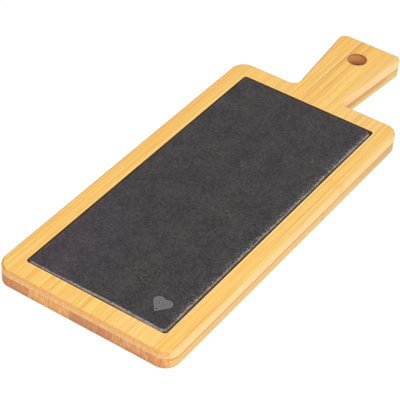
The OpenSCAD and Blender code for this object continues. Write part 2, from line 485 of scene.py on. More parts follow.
# %% Cutting the plies into strips
CUT_TOLERANCE = 1e-7
SHARP_FROM = math.radians(30)
WINDOW_MIDDLE = (window_near + window_far) / 2 * MM


def keep_side(part, place, across, keep_above):
    """Cuts a shell with the plane through place, square to across, and closes the cut."""
    everything = part.verts[:] + part.edges[:] + part.faces[:]
    cut = bmesh.ops.bisect_plane(
        part, geom=everything, dist=CUT_TOLERANCE, plane_co=place, plane_no=across,
        clear_inner=keep_above, clear_outer=not keep_above,
    )
    rim = [item for item in cut["geom_cut"] if isinstance(item, bmesh.types.BMEdge)]
    if rim:
        filled = bmesh.ops.triangle_fill(part, use_beauty=True, edges=rim, normal=across)
        for item in filled["geom"]:
            if isinstance(item, bmesh.types.BMFace):
                item.smooth = False


def strip_from(shell, node):
    """The part of a ply that lies between a node's two joints, as a mesh of its own."""
    low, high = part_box(node)
    part = shell.copy()
    joint_low = round(low.x / MM)
    joint_high = round(high.x / MM)
    if joint_low > -HALF_WIDTH + HOLD:
        keep_side(part, (joint_low * MM, 0, 0), (1, 0, 0), True)
    if joint_high < HALF_WIDTH - HOLD:
        keep_side(part, (joint_high * MM, 0, 0), (1, 0, 0), False)
    if node.endswith("_near") or node.endswith("_far"):
        keep_side(part, (0, WINDOW_MIDDLE, 0), (0, 1, 0), node.endswith("_far"))
    bmesh.ops.recalc_face_normals(part, faces=part.faces)
    mesh = bpy.data.meshes.new(node + "_wood")
    part.to_mesh(mesh)
    mesh.set_sharp_from_angle(angle=SHARP_FROM)
    open_edges = sum(not edge.is_manifold for edge in part.edges)
    volume = part.calc_volume() / MM ** 3
    part.free()
    return mesh, open_edges, volume


print("the plies are cut between near and far pieces at y, mm:", round(WINDOW_MIDDLE / MM, 2))

# %% [markdown]
# Each strip is now made and set in its node's place: it rides on the board and replaces the node.
# Its volume is compared with that of the frame's own mesh. A strip with rounder edges comes out a
# little under 1.

# %% Setting the strips in place
def cad_volume(node):
    """Volume of a node's own mesh, as the sum of a . (b x c) / 6 over its triangles."""
    mesh = frame["nodes"][node].data
    mesh.calc_loop_triangles()
    place = np.zeros(len(mesh.vertices) * 3)
    mesh.vertices.foreach_get("co", place)
    place = place.reshape(-1, 3)
    corner = np.zeros(len(mesh.loop_triangles) * 3, int)
    mesh.loop_triangles.foreach_get("vertices", corner)
    a, b, c = place[corner.reshape(-1, 3)].transpose(1, 0, 2)
    return (a * np.cross(b, c)).sum() / 6 / MM ** 3


SLOT_OF = {row["node"]: row["material_slot"] for row in frame["record"]["subparts"]}
pieces = {}


def set_in_place(node, mesh, body, ending):
    """Makes a finished mesh an object that stands for its node and rides on its body."""
    piece = bpy.data.objects.new(node + ending, mesh)
    bpy.context.scene.collection.objects.link(piece)
    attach(piece, body)
    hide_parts(node)
    pieces[node] = piece


for node in sorted(SLOT_OF):
    if "_strip_" in node:
        shell = base_ply if node.startswith("base") else top_ply
        mesh, open_edges, volume = strip_from(shell, node)
        set_in_place(node, mesh, "board", "_wood")
        print(node, "faces", len(mesh.polygons), "open", open_edges,
              "volume against the frame's", round(volume / cad_volume(node), 4))

# %% [markdown]
# A finish reads the place of each point in millimetres, so that a streak of one millimetre is that
# wide on every strip. Noise makes nearly all of it: a Mapping node stretches the noise until its
# grains have the size of the real ones, and a smooth slope picks out a range of its values.
#
# The colour is built up like a stain, in layers. Each layer is laid over the last one, as strongly
# as its amount says at each point. That keeps every trait of the wood in a line or two of its own.
# What several layers read, such as the way a surface faces, is kept on the finish itself.

# %% A finish in layers
DRIFT = (1.0, 1.7, 0.6)
NOISE_ROUGHNESS = 0.55


class Finish(Nodes):
    """A material on Object coordinates in mm, with the colour that has been laid so far."""

    def __init__(self, name):
        self.material = bpy.data.materials.new(name)
        super().__init__(self.material)
        self.read = self.put("ShaderNodeTexCoord", {}).outputs
        self.place = self.put("ShaderNodeMapping", {
            "Vector": self.read["Object"], "Scale": [1 / MM] * 3}).outputs[0]
        self.x, self.y, self.z = self.split(self.place)
        self.colour = None

    def split(self, vector):
        """The three numbers of a vector."""
        return self.put("ShaderNodeSeparateXYZ", {0: vector}).outputs

    def carried(self, name):
        """A number that the mesh carries at its points."""
        return self.put("ShaderNodeAttribute", {}, attribute_name=name).outputs["Fac"]

    def distance(self, value, *others):
        """The value less the others, without its sign."""
        return self.calc("ABSOLUTE", self.calc("SUBTRACT", value, *others) if others else value)

    def noise(self, size, offset, detail):
        """Noise from 0 to 1 whose grains measure size, in mm, along each axis."""
        moved = self.put("ShaderNodeMapping", {
            "Vector": self.place, "Scale": [1 / each for each in size],
            "Location": [offset * share for share in DRIFT]})
        return self.put("ShaderNodeTexNoise", {
            "Vector": moved.outputs[0], "Scale": 1.0, "Detail": detail,
            "Roughness": NOISE_ROUGHNESS}).outputs[0]

    def grains(self, table, offset=0.0):
        """Every noise of a table, as an amount that rises from 0 to 1 between the row's last two."""
        return {name: self.slope(self.noise(size, offset + own, detail), low, high)
                for name, (size, own, detail, low, high) in table.items()}

    def lay(self, amount, colour):
        """Lays a colour over what is there."""
        self.colour = self.mixed(amount, self.colour, colour)

    def skin(self, rough, height, strength, depth, gloss):
        """Ends the material with one shader, whose bump stands depth high, in mm."""
        bump = self.put("ShaderNodeBump", {"Height": height, "Strength": strength,
                                           "Distance": depth * MM})
        shader = self.put("ShaderNodeBsdfPrincipled", {
            "Base Color": self.colour, "Roughness": rough, "Normal": bump.outputs[0],
            "Specular IOR Level": gloss})
        self.put("ShaderNodeOutputMaterial", {0: shader.outputs[0]})
        print(self.material.name, "nodes:", len(self.tree.nodes))
        return self.material


print("a finish reads one metre as", round(1 / MM), "mm")

# %% [markdown]
# Bamboo is a bundle of long fibres. Along a strip they show as fine streaks, some pale and some
# honey coloured, with broader bands where the strip was cut nearer to the skin of the cane. Across
# the end of a strip the same fibres show as specks. One block of noise does both, if it is squeezed
# across the board and drawn out along it: cut along, it gives streaks, and cut across, specks.
#
# The steamed strips are the same wood made brown by heat, so the same finish serves with other
# colours. They come from a look, which is given further down.

# %% Grain of the bamboo
# Every row: size of the grains in mm, offset, detail, and the two values that it rises between
BAMBOO_NOISE = {
    "bands": ((5.5, 260, 5.5), 0, 2.0, 0.36, 0.64),
    "streaks": ((1.05, 120, 1.05), 31, 3.0, 0.36, 0.64),
    "fibres": ((0.45, 30, 0.45), 57, 3.0, 0.38, 0.62),
    "dashes": ((0.42, 13, 0.42), 83, 3.0, 0.60, 0.72),
    "specks": ((0.45, 8, 2.6), 11, 3.0, 0.50, 0.68),
    "ribs": ((1.1, 8, 7.0), 23, 2.0, 0.40, 0.60),
}
# Size of the noise in mm, offset, and the width of the lines as a share of the noise's range
PALE_LINES = ((3.6, 900, 3.6), 47, 0.032)
DARK_LINES = ((4.2, 900, 4.2), 19, 0.035)


def grain_lines(f, offset, size, own, width):
    """Thin lines, 1 in their middle, where a slow noise passes through its middle value."""
    away = f.distance(f.noise(size, offset + own, 1.0), 0.5)
    return f.slope(away, 0.0, width, 1.0, 0.0)


def lay_grain(f, look, offset):
    """Tone = 0.22 bands + 0.42 streaks + 0.36 fibres, from deep to pale, with lines and dashes."""
    f.grain = f.grains(BAMBOO_NOISE, offset)
    tone = f.calc("ADD", f.times(f.grain["bands"], 0.22), f.times(f.grain["streaks"], 0.42),
                  f.times(f.grain["fibres"], 0.36))
    f.colour = f.mixed(tone, look["deep"], look["pale"])
    lengthways = f.calc("SUBTRACT", 1.0, f.end_grain)
    f.lay(f.times(grain_lines(f, offset, *PALE_LINES), lengthways, 0.34), look["line"])
    f.lay(f.times(grain_lines(f, offset, *DARK_LINES), lengthways, 0.40), shade(206, 134, 60))
    f.lay(f.times(f.grain["dashes"], lengthways, 0.30), shade(186, 116, 52))


print("noises in the bamboo:", len(BAMBOO_NOISE), "and two sets of lines")


# %% [markdown]
# Wood that is handled and lies in the light changes slowly from place to place. On this board the
# handle is a little riper at its end and paler to the right, and the rails are paler on the right.
# A narrow pale band along the right edge is a painted highlight, as of light on a wide rounding, and
# the grain is calmer on the handle. All of these are slow slopes in x, y or the distance to the
# right edge, each with a small share.
#
# The handle and the far rail also show one glue joint between the upper strips as a thin dark line
# with a pale line beside it. The joints come every JOINT_PITCH, and the seen one lies half a
# strip left of the middle.

# %% Slow tints and the seam
JOINT_PITCH = 18.0
PALE_BESIDE = 1.4


def lay_tints(f):
    """Slow changes of colour, and a painted highlight along the right edge. Right edge of the handle:
    half width = neck + flare * (y - shoulder).
    """
    handle = f.mixed(f.slope(f.x, -5, HANDLE_END_HALF), shade(250, 164, 30), shade(255, 222, 160))
    f.lay(f.times(f.slope(f.beyond, 20, 60), 0.12), handle)
    riper = f.times(f.slope(f.beyond, 50, 80, 0.0, 0.1), f.slope(f.x, -5, 12, 1.0, 0.2))
    f.lay(riper, shade(250, 160, 20))
    paler = f.times(f.slope(f.x, 0, 40), f.slope(f.x, 58, 64, 1.0, 0.0),
                    f.slope(f.beyond, -2, 6, 0.18, 0.0), f.slope(f.facing[2], 0.3, 0.8))
    f.lay(paler, shade(255, 226, 170))
    flare = f.times(f.beyond, (HANDLE_END_HALF - NECK_HALF) / (END_Y - SHOULDER_Y))
    narrower = f.times(f.calc("ADD", flare, NECK_HALF - HALF_WIDTH),
                       f.calc("GREATER_THAN", f.beyond, 0.0))
    to_side = f.calc("SUBTRACT", f.calc("ADD", narrower, HALF_WIDTH), f.x)
    calm = f.times(f.slope(to_side, 4, 10, 0.5, 0.0), f.slope(f.beyond, 2, 12))
    f.lay(calm, shade(250, 205, 124))
    # Painted highlight: a narrow pale band along the right edge, as of light on a wide rounding.
    f.lay(f.slope(to_side, 0.5, 6.0, 0.26, 0.0), shade(253, 218, 164))


def lay_seam(f):
    """The joint that shows on the handle: a pale line and then a dark one."""
    past_window = f.slope(f.beyond, -12, 0)
    from_seam = f.calc("ADD", f.x, JOINT_PITCH / 2)
    pale = f.slope(f.distance(f.calc("ADD", from_seam, PALE_BESIDE)), 0.2, 1.1, 0.36, 0.0)
    dark = f.slope(f.distance(from_seam), 0.2, 0.8, 0.45, 0.0)
    f.lay(f.times(pale, past_window), shade(255, 236, 184))
    f.lay(f.times(dark, past_window), shade(176, 110, 46))


print("the seam lies at x, mm:", -JOINT_PITCH / 2)


# %% [markdown]
# The long flanks and the cut ends look unlike the face. Sawn ends soak up oil and are darker, with
# ribs and specks where the fibres are cut through, and a painted shade darkens them just above the
# table. The flanks of the base ply are darker in a band under the glue line, and on the last strip
# browner towards the far end. Object coordinates and the normal tell the sides apart.
#
# A cane has a node now and then, a crease across the fibres with a swelling round it. Two of the
# strips show one. It is a band at one y, made crooked by a noise that only changes across.

# %% Flanks, ends and cane nodes
def lay_flanks_and_ends(f, look):
    """Layers for the sides that face along x and along y."""
    flank_share = f.times(f.slope(f.beyond, -5, 10, look["flank share"], look["handle flank"]),
                          f.slope(f.z, GLUE_Z + 2.5, TOP_Z - 0.5, 1.0, 0.7))
    f.lay(f.times(f.flank, flank_share), look["flank"])
    band_foot = GLUE_Z - look["band depth"]
    f.lay(f.times(f.slope(f.z, band_foot, band_foot + 1.2), look["band share"], f.flank), look["band"])
    f.lay(f.times(f.slope(f.y, 20, 95, 0.0, look["far share"]), f.flank), shade(204, 144, 92))
    end_colour = f.mixed(f.slope(f.z, GLUE_Z, TOP_Z - EDGE_R), look["end"], look["end top"])
    f.lay(f.times(f.end_grain, look["end share"]), end_colour)
    f.lay(f.times(f.grain["ribs"], f.end_grain, look["rib share"]), look["rib"])
    f.lay(f.times(f.grain["specks"], f.end_grain, look["speck share"]), shade(160, 88, 44))
    # Painted shade: the ends darken towards the table.
    f.lay(f.times(f.slope(f.z, 0.6, 5.0, 0.26, 0.0), f.end_grain), shade(112, 84, 78))


def lay_cane_node(f, look, offset, place):
    """A crease and a swelling where y = place + wobble."""
    wobble = f.times(f.calc("SUBTRACT", f.noise((3, 400, 3), offset + 5, 2.0), 0.5), 9.0)
    away = f.distance(f.y, place, wobble)
    spotty = f.slope(f.noise((2.6, 6, 2.6), offset + 71, 3.0), 0.45, 0.62)
    f.lay(f.times(f.slope(away, 1.0, 7.0, 1.0, 0.0), 0.25), look["deep"])
    f.lay(f.times(f.slope(away, 0.2, 1.3, 1.0, 0.0), spotty, 0.7), shade(150, 92, 44))


print("the colour of an end changes up to z, mm:", round(TOP_Z - EDGE_R, 2))

# %% [markdown]
# The rounded edges carry painted light. A painted highlight makes the arris paler where it faces
# right and round the window, and a painted shade makes it brown where it faces left, far or near.
# The mesh carries the number that says where the roundings are. The painted highlight is strongest
# along the window's right side. The painted shade is on the outer edges, but not in the hollow
# corners. Round the hole's mouth the far side gets a brown painted shade and the near side a pale
# painted highlight.
#
# The drill browns the wood inside the hole, and a painted shade makes it darker just under the
# mouth and deep down. The cutter browns the window's walls as well; the left and the far one are
# darker.

# %% Painted light on the edges, and browned walls
def lay_painted_edge_light(f):
    """Painted highlight and painted shade on the roundings."""
    worn = f.carried(ROUNDING_MARK)
    from_middle = f.distance(f.y, WINDOW_MIDDLE / MM)
    inner = f.times(f.slope(from_middle, WINDOW_LENGTH / 2 + 2, WINDOW_LENGTH / 2 + 3, 1.0, 0.0),
                    f.slope(f.distance(f.x), WINDOW_HALF + 2, WINDOW_HALF + 3, 1.0, 0.0))
    on_right = f.times(inner, f.slope(f.x, WINDOW_HALF - 1, WINDOW_HALF, 0.4, 1.0))
    painted_highlight = f.calc("MAXIMUM", f.slope(f.facing[0], 0.1, 0.4, 0.0, 0.06), on_right)
    # Painted highlight: a paler arris where it faces right and round the window, most on its right side.
    f.lay(f.times(worn, painted_highlight), shade(255, 238, 178))

    # Painted shade: a brown arris on outer edges that face left, far or near, not in the hollow corners.
    far_or_left = f.calc("MAXIMUM", f.times(f.facing[0], -1.0), f.facing[1])
    painted_edge_shade = f.calc("MAXIMUM", f.slope(far_or_left, 0.02, 0.2, 0.0, 0.5),
                       f.slope(f.nearways, 0.2, 0.6, 0.0, 0.2))
    hole_mouth = (0, END_Y - HOLE_SETBACK, TOP_Z)
    to_hole = f.put("ShaderNodeVectorMath", {0: f.place, 1: hole_mouth}, operation="DISTANCE")
    at_hole = f.slope(to_hole.outputs["Value"], HOLE_R + 2, HOLE_R + 3, 1.0, 0.0)
    hollow = f.times(f.slope(f.beyond, 0.3, 1.5), f.slope(f.beyond, NECK_R, NECK_R + 4, 1.0, 0.0))
    outer_only = f.calc("SUBTRACT", 1.0, f.calc("MAXIMUM", inner, at_hole, hollow))
    f.lay(f.times(painted_edge_shade, outer_only, worn), shade(184, 122, 62))

    # Round the hole's mouth: painted shade on the far side, a painted highlight on the near side.
    hole_rounding = f.times(worn, at_hole)
    f.lay(f.times(hole_rounding, f.slope(f.nearways, 0.0, 0.4, 0.0, 0.7)), shade(172, 102, 34))
    f.lay(f.times(hole_rounding, f.slope(f.nearways, -0.3, 0.0, 0.5, 0.0)), shade(255, 214, 160))


def lay_browned_walls(f):
    """Brown inside the hole, with painted shade by height, and on the window's walls, by the way they
    face.
    """
    # Painted shade in the hole: darker just under its mouth and deep down.
    lit = f.times(f.slope(f.z, TOP_Z - 2.2, TOP_Z - 0.8, 1.0, 0.35), f.slope(f.z, 3.5, 10.5, 0.1, 1.0))
    hole_brown_and_shade = f.mixed(lit, shade(76, 38, 8), shade(232, 166, 100))
    left_or_far_wall = f.slope(f.calc("MAXIMUM", f.facing[0], f.nearways), 0.3, 0.7)
    wall_brown = f.mixed(left_or_far_wall, shade(196, 138, 78), shade(100, 56, 20))
    in_handle = f.slope(f.y, window_far + 10, window_far + 20)
    browned = f.times(f.carried(BORED), f.slope(f.grain["fibres"], 0.0, 1.0, 0.95, 0.8))
    f.lay(browned, f.mixed(in_handle, wall_brown, hole_brown_and_shade))


print("the window is", round(WINDOW_LENGTH, 2), "long and", 2 * WINDOW_HALF, "wide, mm")

# %% [markdown]
# Last come the glue line between the plies, which runs all round at one height, and hair lines at
# the joints between strips. Then the layers are put in their order. The relief of the skin comes
# from the same noises as the colour, so that a dark fibre is also a fine groove. Sanded and oiled
# bamboo is satin: fairly rough, with a weak gloss.

# %% Bamboo finish
def lay_joints(f):
    """Glue line at z = GLUE_Z, and hair lines at x = (k + 1/2) * JOINT_PITCH for whole numbers k."""
    f.lay(f.slope(f.distance(f.z, GLUE_Z), 0.05, 0.30, 0.42, 0.0), shade(150, 90, 44))
    from_joint = f.calc("PINGPONG", f.calc("SUBTRACT", f.x, JOINT_PITCH / 2), JOINT_PITCH / 2)
    joint = f.times(f.slope(from_joint, 0.04, 0.2, 0.2, 0.0), f.slope(f.sideways, 0.3, 0.7, 1.0, 0.0))
    f.lay(joint, shade(160, 102, 50))
    return joint


def bamboo(name, look, offset, cane_node=None):
    """The finish of one strip: its own colours, its own place in the noise, and its cane node."""
    f = Finish(name)
    f.facing = f.split(f.read["Normal"])
    f.nearways = f.times(f.facing[1], -1.0)
    f.sideways = f.distance(f.facing[0])
    f.end_grain = f.slope(f.distance(f.facing[1]), 0.45, 0.9)
    f.flank = f.slope(f.sideways, 0.5, 0.95)
    f.beyond = f.calc("SUBTRACT", f.y, SHOULDER_Y)
    lay_grain(f, look, offset)
    lay_tints(f)
    lay_seam(f)
    lay_flanks_and_ends(f, look)
    if cane_node is not None:
        lay_cane_node(f, look, offset, cane_node)
    lay_painted_edge_light(f)
    lay_browned_walls(f)
    joint = lay_joints(f)
    raised = f.calc("ADD", f.times(f.grain["fibres"], 0.5), f.grain["streaks"])
    height = f.calc("SUBTRACT", raised, f.times(f.grain["dashes"], 0.8), f.times(joint, 2.0))
    rough = f.slope(f.grain["fibres"], 0.0, 1.0, 0.40, 0.56)
    return f.skin(rough, height, strength=0.35, depth=0.06, gloss=0.3)


# %% [markdown]
# Each strip comes from another cane, so each has its own place in the noise. The base ply mixes
# natural and steamed strips, which shows on the near end and under the handle, so its strips differ
# in colour too. The upper ply is natural all over.
#
# A look names a pale and a deep colour for the streaks, a colour for thin pale lines, and the
# shades that the strip takes on its long flanks and its cut ends, with the share of each.

# %% Colours of the strips
NATURAL = {
    "pale": shade(255, 218, 125), "deep": shade(246, 177, 75), "line": shade(255, 236, 174),
    "flank": shade(253, 214, 158), "flank share": 0.55, "handle flank": 0.9,
    "band": shade(214, 154, 78), "band share": 0.0, "band depth": 2.5,
    "end": shade(255, 208, 148), "end top": shade(253, 188, 118), "end share": 0.74,
    "rib": shade(232, 156, 92), "rib share": 0.36, "speck share": 0.38, "far share": 0.0,
}
BASE = dict(NATURAL, flank=shade(228, 192, 114), rib=shade(194, 112, 64))
BASE.update({"flank share": 0.75, "handle flank": 0.75, "band share": 0.72, "end share": 0.0,
             "rib share": 0.46, "speck share": 0.44})
STEAMED = dict(BASE, pale=shade(234, 170, 118), deep=shade(204, 134, 84), line=shade(232, 174, 124))
STEAMED.update({"band depth": 5.0, "band": shade(212, 146, 74)})
STEAMED_SIDE = dict(STEAMED, flank=shade(212, 148, 100))
HONEY = dict(BASE, pale=shade(250, 190, 128), deep=shade(226, 156, 94), line=shade(244, 190, 134))
HONEY.update({"band depth": 4.0, "band share": 0.36})
ORANGE = dict(BASE, pale=shade(255, 206, 130), deep=shade(250, 178, 100), line=shade(255, 206, 136))
RUSSET = dict(BASE, pale=shade(255, 188, 122), deep=shade(242, 162, 94), line=shade(255, 196, 134))
RUSSET["far share"] = 0.42
BASE_LOOKS = [STEAMED_SIDE, STEAMED, ORANGE, ORANGE, STEAMED, STEAMED, HONEY, HONEY, RUSSET]
CANE_NODES = {"top_strip_9": 23.0, "base_strip_9": -3.0}
OFFSET_STEP = 13.7

for node, piece in sorted(pieces.items()):
    strip = int(node.split("_")[2])
    look = BASE_LOOKS[strip - 1] if node.startswith("base") else NATURAL
    finish = bamboo("bamboo_" + node, look, OFFSET_STEP * strip, CANE_NODES.get(node))
    piece.data.materials.append(finish)
print("bamboo finishes:", len(pieces))

# %% [markdown]
# The slate is split, not sawn: its face is riven, with low swells, shallow steps where a layer has
# come away, and a fine tooth. Its edges are dressed with a chisel, which breaks small shell-shaped
# chips off the arris and leaves them paler than the face.
#
# The tile's top is one grid, and its heights are sums of soft noise: random values on a lattice,
# with 3t^2 - 2t^3 between them. Noise with a seed gives the same stone on each run.

# %% Soft noise
TABLE_SIZE = 512


def soft_noise(x, y, pitch, seed):
    """Smooth random values from -1 to 1 with one lattice point every pitch, as whole arrays."""
    table = np.random.default_rng(seed).uniform(-1, 1, (TABLE_SIZE, TABLE_SIZE))
    column = np.floor(x / pitch).astype(int)
    row = np.floor(y / pitch).astype(int)
    across = x / pitch - column
    along = y / pitch - row
    across = across * across * (3 - 2 * across)
    along = along * along * (3 - 2 * along)
    column %= TABLE_SIZE - 1
    row %= TABLE_SIZE - 1
    near = table[row, column] * (1 - across) + table[row, column + 1] * across
    far = table[row + 1, column] * (1 - across) + table[row + 1, column + 1] * across
    return near * (1 - along) + far * along


def smooth_step(value, low, high):
    """0 below low, 1 above high, 3t^2 - 2t^3 between."""
    t = np.clip((value - low) / (high - low), 0, 1)
    return t * t * (3 - 2 * t)


print("the soft noise repeats after", TABLE_SIZE - 1, "lattice points")

# %% [markdown]
# The heart is engraved near one corner. Its shape is two round lobes and two straight sides that
# meet at a tip. A Boolean cut would leave a smooth pocket with sharp walls, so it is made as a
# change of height instead.
#
# The distance from any point to its outline is found from points spread along the outline, and is
# positive inside. That one number gives the engraving's depth, its soft wall, and the faint lines
# that the engraving tool has left inside, each at an even distance from the edge.

# %% Heart
HEART_W = 14.8
HEART_H = 14.6
HEART_DEPTH = 0.25
HEART_FROM_SIDE = 17.95
HEART_FROM_NEAR = 12.9
HEART_ROUND = 0.9
LOBE_SHARE = 0.25
SIDE_SHARE = 0.99
LOBE_FROM, LOBE_TO = -0.25 * np.pi, 1.25 * np.pi
OUTLINE_POINTS = 160
OUTLINE_SLACK = 0.01
HEART_REACH = 3.0
HEART_WALL = (-0.12, 0.18)

tile_low, tile_high = (np.array(corner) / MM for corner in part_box("slate_tile"))
tile_half = (tile_high - tile_low)[:2] / 2
tile_middle = (tile_high + tile_low)[:2] / 2
heart_tip = np.array([tile_half[0] - HEART_FROM_SIDE, HEART_FROM_NEAR - tile_half[1]])


def heart_inside(x, y):
    """Distance to the heart's outline, positive inside. x and y are measured from its tip.

    It is the distance to a smaller heart plus HEART_ROUND, which rounds the tip by that radius.
    """
    width = HEART_W - 2 * HEART_ROUND
    height = HEART_H - 2 * HEART_ROUND
    y = y - HEART_ROUND
    lobe_r = LOBE_SHARE * width
    lobe_x, lobe_y = width / 2 - lobe_r, height - lobe_r
    reach = math.hypot(lobe_x, lobe_y)
    side_length = math.sqrt(reach ** 2 - (SIDE_SHARE * lobe_r) ** 2)
    lean = math.atan2(lobe_x, lobe_y) + math.asin(SIDE_SHARE * lobe_r / reach)
    side = side_length * np.array([math.sin(lean), math.cos(lean)])
    a = np.linspace(LOBE_FROM, LOBE_TO, OUTLINE_POINTS)
    t = np.linspace(0, 1, OUTLINE_POINTS)[:, None]
    lobe = np.stack([lobe_x + lobe_r * np.cos(a), lobe_y + lobe_r * np.sin(a)], axis=1)
    half = np.concatenate([lobe, t * side])
    points = np.concatenate([half, half * [-1, 1]])

    def within(px, py, slack):
        """True inside one of the lobes or the kite between the tip, the sides and the notch."""
        ax = np.abs(px)
        in_lobe = np.hypot(ax - lobe_x, py - lobe_y) < lobe_r - slack
        under_side = side[1] * ax - side[0] * py < -slack * side_length
        under_top = (ax * (lobe_y - side[1]) + side[0] * (py - lobe_y)) < -slack * side[0]
        return in_lobe | (under_side & under_top)

    points = points[~within(points[:, 0], points[:, 1], OUTLINE_SLACK)]
    far = np.hypot(x - np.clip(x, -width / 2, width / 2), y - np.clip(y, 0, height))
    near = far < HEART_REACH
    distance = np.full(x.shape, -HEART_REACH)
    gap = np.hypot(x[near][:, None] - points[None, :, 0], y[near][:, None] - points[None, :, 1])
    distance[near] = gap.min(axis=1) * np.where(within(x[near], y[near], 0.0), 1, -1)
    return np.maximum(distance, -HEART_REACH) + HEART_ROUND


print("heart, mm:", HEART_W, "wide and", HEART_H, "high, tip at", (tile_middle + heart_tip).round(2))


# %% [markdown]
# The grid of the tile's top has to carry chips and tool marks of a few tenths of a millimetre, and
# the slow swells of the face. A grid that is fine all over would waste points, so the lines stand
# close near the edges and under the heart, and wider apart between them.

# %% Grid lines of the tile
EDGE_ZONE = 3.6
EDGE_PITCH = 0.3
HEART_PITCH = 0.2
PLAIN_PITCH = 1.05
HEART_MARGIN = 0.8


def marks(half, fine_low, fine_high):
    """Grid lines from -half to half: fine at both edges and between fine_low and fine_high."""
    def run(start, end, pitch):
        return np.linspace(start, end, max(2, math.ceil((end - start) / pitch) + 1))
    return np.unique(np.concatenate([
        run(-half, -half + EDGE_ZONE, EDGE_PITCH),
        run(-half + EDGE_ZONE, fine_low, PLAIN_PITCH),
        run(fine_low, fine_high, HEART_PITCH),
        run(fine_high, half - EDGE_ZONE, PLAIN_PITCH),
        run(half - EDGE_ZONE, half, EDGE_PITCH),
    ]).round(6))


columns = marks(tile_half[0], heart_tip[0] - HEART_W / 2 - HEART_MARGIN,
                heart_tip[0] + HEART_W / 2 + HEART_MARGIN)
rows = marks(tile_half[1], heart_tip[1] - HEART_MARGIN, heart_tip[1] + HEART_H + HEART_MARGIN)
print("grid of the tile:", len(columns), "by", len(rows))

# %% [markdown]
# The square corners of the grid are pulled in to the tile's broken corners. Seen from a point a
# little inside, every place near a corner is drawn towards it, so that the grid's edge comes to lie
# on the slanting break. The four breaks differ, as they do on a tile dressed by hand.
#
# Say p and q are a place's steps from that point along x and y, and m is the larger one. Then the
# break lies at reach = (2 * zone - broken) * m / (zone * (p + q)) of the way to the square edge. A
# place on the edge moves all the way to the break, and one further in (m / zone)^2 of that way.
#
# Two more things are noted for the chips that come later: each point's distance to the edge, and
# the stretch at the far right corner, which was struck last.

# %% Broken corners of the tile
CORNER_ZONE = 9.0
CORNER_BREAKS = {(-1, -1): 1.5, (1, -1): 2.6, (1, 1): 3.2, (-1, 1): 1.8}
STRUCK_FROM = 16
STRUCK_TO = 6
TINY = 1e-9

X, Y = np.meshgrid(columns, rows)
half_x, half_y = tile_half
struck = smooth_step(Y, half_y - STRUCK_FROM, half_y - STRUCK_TO) * (X > 0)
to_edge = np.minimum(half_x - np.abs(X), half_y - np.abs(Y))
for (side_x, side_y), broken in CORNER_BREAKS.items():
    p = side_x * X - (half_x - CORNER_ZONE)
    q = side_y * Y - (half_y - CORNER_ZONE)
    here = (p > 0) & (q > 0)
    m = np.maximum(np.maximum(p, q), TINY)
    reach = np.minimum(1, (2 * CORNER_ZONE - broken) * m / (CORNER_ZONE * (p + q + TINY)))
    shrink = np.where(here, 1 + (reach - 1) * (m / CORNER_ZONE) ** 2, 1)
    X = np.where(here, side_x * (half_x - CORNER_ZONE + p * shrink), X)
    Y = np.where(here, side_y * (half_y - CORNER_ZONE + q * shrink), Y)
    slant = ((half_x - side_x * X) + (half_y - side_y * Y) - broken) / math.sqrt(2)
    to_edge = np.where(here, np.minimum(to_edge, slant), to_edge)
to_edge = np.maximum(to_edge, 0)
print("points of the tile's top:", X.size, "furthest from an edge, mm:", round(to_edge.max(), 1))

# %% [markdown]
# A riven face is the sum of slow swells, low steps where a layer ends, and a fine tooth. A step is
# made by cutting a noise at one value, so that its edge runs like a coast. From the lowest place to
# the highest it is only about a quarter of a millimetre, but low light still shows it.

# %% Riven face
# Every row: height in mm or share, pitch in mm, and seed
SWELL = ((0.05, 34, 1), (0.03, 11, 2))
TOOTH = ((0.02, 2.6, 5), (0.012, 1.2, 6))
COAST = ((1, 17, 3),)
BAYS = ((0.35, 4.2, 4),)
DRAWN_OUT = 0.55
STEP = 0.05
UPPER_STEP = (0.18, 0.26)
LOWER_STEP = (-0.42, -0.32)


def summed(x, y, rows):
    """Sum of height * soft noise over the rows."""
    return sum(height * soft_noise(x, y, pitch, seed) for height, pitch, seed in rows)


layers = summed(X, Y * DRAWN_OUT, COAST) + summed(X, Y, BAYS)
steps = STEP * smooth_step(layers, *UPPER_STEP) + STEP * smooth_step(layers, *LOWER_STEP)
relief = summed(X, Y, SWELL) + steps + summed(X, Y, TOOTH)
print("relief of the riven face, mm:", round(relief.max() - relief.min(), 3))

# %% [markdown]
# A chisel takes the arris off in small shells. They could be sculpted one by one, but a formula of
# the distance to the edge makes them all: a slope along the edge, CHIP_DROP deep, whose width
# changes from place to place. The long sides are more ragged than the ends. On the near edge the
# chips are wide in the middle and at the right, and neat at the left. The ones at the corner that
# was struck last are short and fresh, and those on the left and far edges have weathered. The grid
# carries a number that says how fresh each point is, for the colour.

# %% Chips along the edges
CHIP_WIDTH = 1.3
CHIP_DROP = 0.8
CHIP_CURVE = 1.25
NARROWEST_CHIP = 0.45
CALMEST = 0.3
SIDE_BLEND = 4.0
WIDE_FROM_X = (-35, 5)
WIDEST_FROM_X = (15, 45)
NEAT_FROM_X = (-8, -38)
NEAT_LEFT = 0.25
WEATHERED = 0.2
# Every row: share or height in mm, pitch in mm, and seed
UNEVEN = ((0.5, 6.5, 7), (0.4, 2.1, 8))
UNEVEN_DROP = ((0.22, 5.0, 9),)
SCALLOPS = ((0.16, 1.3, 10),)
PATCHES = ((1, 4.5, 16),)

